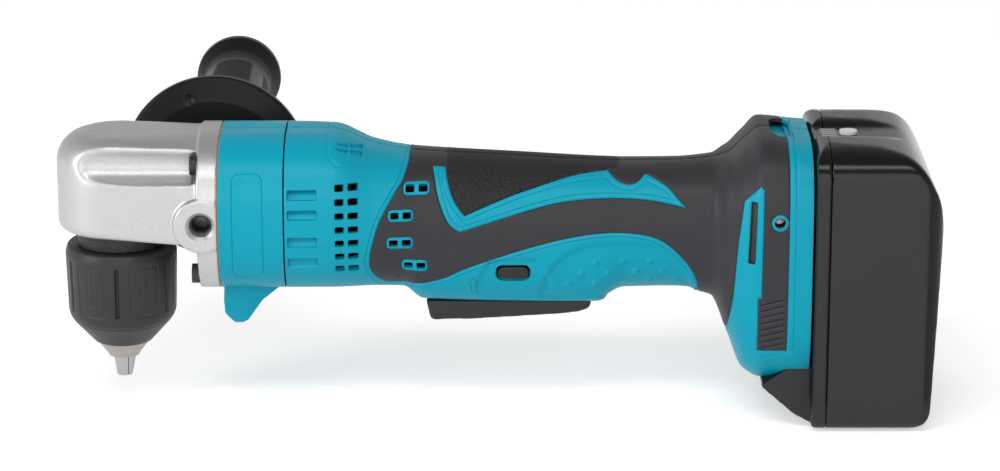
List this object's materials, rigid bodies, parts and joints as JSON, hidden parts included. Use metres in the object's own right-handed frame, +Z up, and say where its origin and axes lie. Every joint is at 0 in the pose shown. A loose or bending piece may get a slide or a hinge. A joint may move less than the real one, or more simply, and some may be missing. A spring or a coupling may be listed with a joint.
{
  "type": "right angle drill",
  "caption": "Hand-held cordless drill whose chuck stands at right angles to the motor, with a paddle trigger, a screw-on side handle and a slide-on battery.",
  "frame": {"origin": "on the spindle axis, at the tips of the closed chuck jaws", "axes": "+X along the body from the angle head to the battery, +Y towards the side handle, +Z up along the spindle away from the chuck"},
  "size_m": [0.3259, 0.2265, 0.1125],
  "materials": {
    "cast_aluminium": "sand-cast, fine grain, semi-matt",
    "bearing_steel": "ground",
    "gear_steel": "hardened, oiled",
    "dark_steel": "black oxide",
    "nose_steel": "turned, phosphated",
    "motor_iron": "laminated",
    "copper": "enamelled copper",
    "gasket_paper": "fibre paper",
    "coloured_plastic": "glass-filled nylon, fine spark texture",
    "black_rubber": "overmoulded elastomer, part fine, part coarse grain",
    "black_plastic": "moulded, fine texture",
    "gloss_black": "polished shoulders with textured sides",
    "bracket_alloy": "die-cast",
    "clear_lens": "clear polycarbonate",
    "circuit_board": "solder mask",
    "wire_sleeve": "insulated wire",
    "cell_wrap": "shrink wrap",
    "pale_button": "satin"
  },
  "bodies": {
    "body": {"gear_housing": "cast_aluminium", "head_screws": "dark_steel", "bearing_box": "dark_steel", "spindle_lower_bearing": "bearing_steel", "spindle_upper_bearing": "bearing_steel", "pinion_bearing": "bearing_steel", "ring_gear": "gear_steel", "head_gasket": "gasket_paper", "gear_case": "coloured_plastic", "lamp_lens": "clear_lens", "lamp_board": "circuit_board", "motor_front_bearing": "bearing_steel", "motor_rear_bearing": "bearing_steel", "motor_yoke": "dark_steel", "motor_magnets": "motor_iron", "brush_holders": "black_plastic", "carbon_brushes": "black_plastic", "motor_bracket": "bracket_alloy", "housing_left": "coloured_plastic", "housing_right": "coloured_plastic", "grip_left": "black_rubber", "grip_right": "black_rubber", "housing_screws": "dark_steel", "trigger_pin": "bearing_steel", "trigger_spring": "bearing_steel", "switch_body": "black_plastic", "terminal_block": "black_plastic", "hook_nuts": "bearing_steel", "lead_wires": "wire_sleeve"},
    "spindle": {"spindle": "bearing_steel", "bevel_gear": "gear_steel", "chuck_body": "nose_steel", "chuck_screw": "bearing_steel"},
    "chuck_sleeve": {"chuck_sleeve": "black_plastic", "chuck_nut": "gear_steel"},
    "jaw_1": {"chuck_jaw_1": "gear_steel"},
    "jaw_2": {"chuck_jaw_2": "gear_steel"},
    "jaw_3": {"chuck_jaw_3": "gear_steel"},
    "pinion": {"bevel_pinion": "gear_steel"},
    "planet_1": {"planet_gear_1": "gear_steel"},
    "planet_2": {"planet_gear_2": "gear_steel"},
    "planet_3": {"planet_gear_3": "gear_steel"},
    "armature": {"motor_pinion": "gear_steel", "armature_shaft": "bearing_steel", "armature_core": "motor_iron", "armature_windings": "copper", "commutator": "copper", "fan": "black_plastic"},
    "trigger": {"trigger": "black_plastic"},
    "plunger": {"switch_plunger": "black_plastic"},
    "direction_lever": {"direction_lever": "black_plastic"},
    "side_handle": {"side_handle_grip": "black_plastic", "side_handle_stud": "bearing_steel"},
    "battery": {"battery_case": "gloss_black", "battery_cover": "black_plastic", "battery_cells": "cell_wrap", "battery_board": "circuit_board", "battery_latch_spring": "bearing_steel"},
    "release_button": {"battery_release_button": "black_plastic"},
    "gauge_button": {"gauge_button": "pale_button"}
  },
  "joints": [
    {"name": "spindle_spin", "type": "hinge", "parent": "body", "child": "spindle", "pos_m": [0, 0, 0], "axis": [0, 0, 1], "continuous": true},
    {"name": "chuck_turn", "type": "hinge", "parent": "spindle", "child": "chuck_sleeve", "pos_m": [0, 0, 0], "axis": [0, 0, 1], "range_deg": [0, 3095.5]},
    {"name": "jaw_1_slide", "type": "slide", "parent": "spindle", "child": "jaw_1", "axis": [0.2079, 0, 0.9781], "range_m": [0, 0.02044]},
    {"name": "jaw_2_slide", "type": "slide", "parent": "spindle", "child": "jaw_2", "axis": [-0.104, 0.1801, 0.9781], "range_m": [0, 0.02044]},
    {"name": "jaw_3_slide", "type": "slide", "parent": "spindle", "child": "jaw_3", "axis": [-0.104, -0.1801, 0.9781], "range_m": [0, 0.02044]},
    {"name": "pinion_spin", "type": "hinge", "parent": "body", "child": "pinion", "pos_m": [0, 0, 0.0665], "axis": [1, 0, 0], "continuous": true},
    {"name": "planet_1_spin", "type": "hinge", "parent": "pinion", "child": "planet_1", "pos_m": [0.0477, 0, 0.0809], "axis": [1, 0, 0], "continuous": true},
    {"name": "planet_2_spin", "type": "hinge", "parent": "pinion", "child": "planet_2", "pos_m": [0.0477, -0.01247, 0.0593], "axis": [1, 0, 0], "continuous": true},
    {"name": "planet_3_spin", "type": "hinge", "parent": "pinion", "child": "planet_3", "pos_m": [0.0477, 0.01247, 0.0593], "axis": [1, 0, 0], "continuous": true},
    {"name": "motor_spin", "type": "hinge", "parent": "body", "child": "armature", "pos_m": [0, 0, 0.0665], "axis": [1, 0, 0], "continuous": true},
    {"name": "trigger_press", "type": "hinge", "parent": "body", "child": "trigger", "pos_m": [0.17005, 0, 0.0365], "axis": [0, 1, 0], "range_deg": [0, 4.38], "stiffness_Nm_per_rad": 3, "springref_deg": -2.86},
    {"name": "plunger_slide", "type": "slide", "parent": "body", "child": "plunger", "axis": [0, 0, 1], "range_m": [0, 0.0033], "deforming": ["trigger_spring"]},
    {"name": "direction_slide", "type": "slide", "parent": "body", "child": "direction_lever", "axis": [0, 1, 0], "range_m": [-0.003, 0.003]},
    {"name": "handle_unscrew", "type": "slide", "parent": "body", "child": "side_handle", "axis": [0, 1, 0], "range_m": [0, 0.03]},
    {"name": "battery_slide", "type": "slide", "parent": "body", "child": "battery", "axis": [0, 0, -1], "range_m": [0, 0.1]},
    {"name": "release_press", "type": "slide", "parent": "battery", "child": "release_button", "axis": [1, 0, 0], "range_m": [0, 0.0045], "stiffness_N_per_m": 1500, "springref_m": -0.002, "deforming": ["battery_latch_spring"]},
    {"name": "gauge_press", "type": "slide", "parent": "battery", "child": "gauge_button", "axis": [0, 0, -1], "range_m": [0, 0.0008], "stiffness_N_per_m": 1200, "springref_m": -0.0004}
  ],
  "couplings": [
    {"joint": "jaw_1_slide", "follows": "chuck_turn", "m_per_rad": 0.00037827},
    {"joint": "jaw_2_slide", "follows": "chuck_turn", "m_per_rad": 0.00037827},
    {"joint": "jaw_3_slide", "follows": "chuck_turn", "m_per_rad": 0.00037827},
    {"joint": "pinion_spin", "follows": "spindle_spin", "ratio": -3},
    {"joint": "planet_1_spin", "follows": "spindle_spin", "ratio": 9},
    {"joint": "planet_2_spin", "follows": "spindle_spin", "ratio": 9},
    {"joint": "planet_3_spin", "follows": "spindle_spin", "ratio": 9},
    {"joint": "motor_spin", "follows": "spindle_spin", "ratio": -12},
    {"joint": "plunger_slide", "follows": "trigger_press", "m_per_rad": 0.0431}
  ]
}
